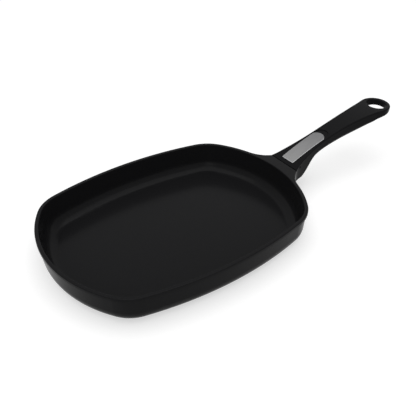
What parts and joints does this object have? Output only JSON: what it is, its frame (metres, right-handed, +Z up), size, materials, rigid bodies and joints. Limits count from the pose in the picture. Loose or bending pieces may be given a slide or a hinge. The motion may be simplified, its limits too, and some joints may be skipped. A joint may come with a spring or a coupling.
{
  "type": "frying pan",
  "caption": "Shallow rounded rectangular frying pan with a flat rim and a long curved handle that pulls off once its thumb slide is drawn back; the handle ends in a hanging eye.",
  "frame": {"origin": "centre of the pan's base, on the underside that rests on the hob", "axes": "+X from the pan's centre along the handle to its hanging eye, +Z up out of the pan, +Y to the left of someone who looks along +X"},
  "size_m": [0.5826, 0.269, 0.0853],
  "materials": {
    "coated_casting": "satin black non-stick coating on cast aluminium",
    "moulded_grip": "satin moulded phenolic",
    "brushed_steel": "lengthwise brushed stainless steel",
    "carriage_plastic": "moulded nylon",
    "plain_steel": "drawn steel",
    "spring_steel": "tempered spring steel"
  },
  "bodies": {
    "pan": {"pan_body": "coated_casting"},
    "handle": {"handle_shell": "moulded_grip", "socket_sleeve": "plain_steel", "cross_pin": "plain_steel", "latch_leaf": "spring_steel", "spring_rod": "plain_steel", "return_spring": "spring_steel"},
    "release": {"thumb_plate": "brushed_steel", "slide_carriage": "carriage_plastic", "front_stud": "plain_steel", "rear_stud": "plain_steel"}
  },
  "joints": [
    {"name": "handle_pull_off", "type": "slide", "parent": "pan", "child": "handle", "axis": [1, 0, 0], "range_m": [0, 0.06], "deforming": ["latch_leaf"]},
    {"name": "thumb_slide", "type": "slide", "parent": "handle", "child": "release", "axis": [0.9519, 0, 0.3064], "range_m": [0, 0.008], "stiffness_N_per_m": 600, "springref_m": -0.008, "deforming": ["return_spring", "latch_leaf"]}
  ]
}
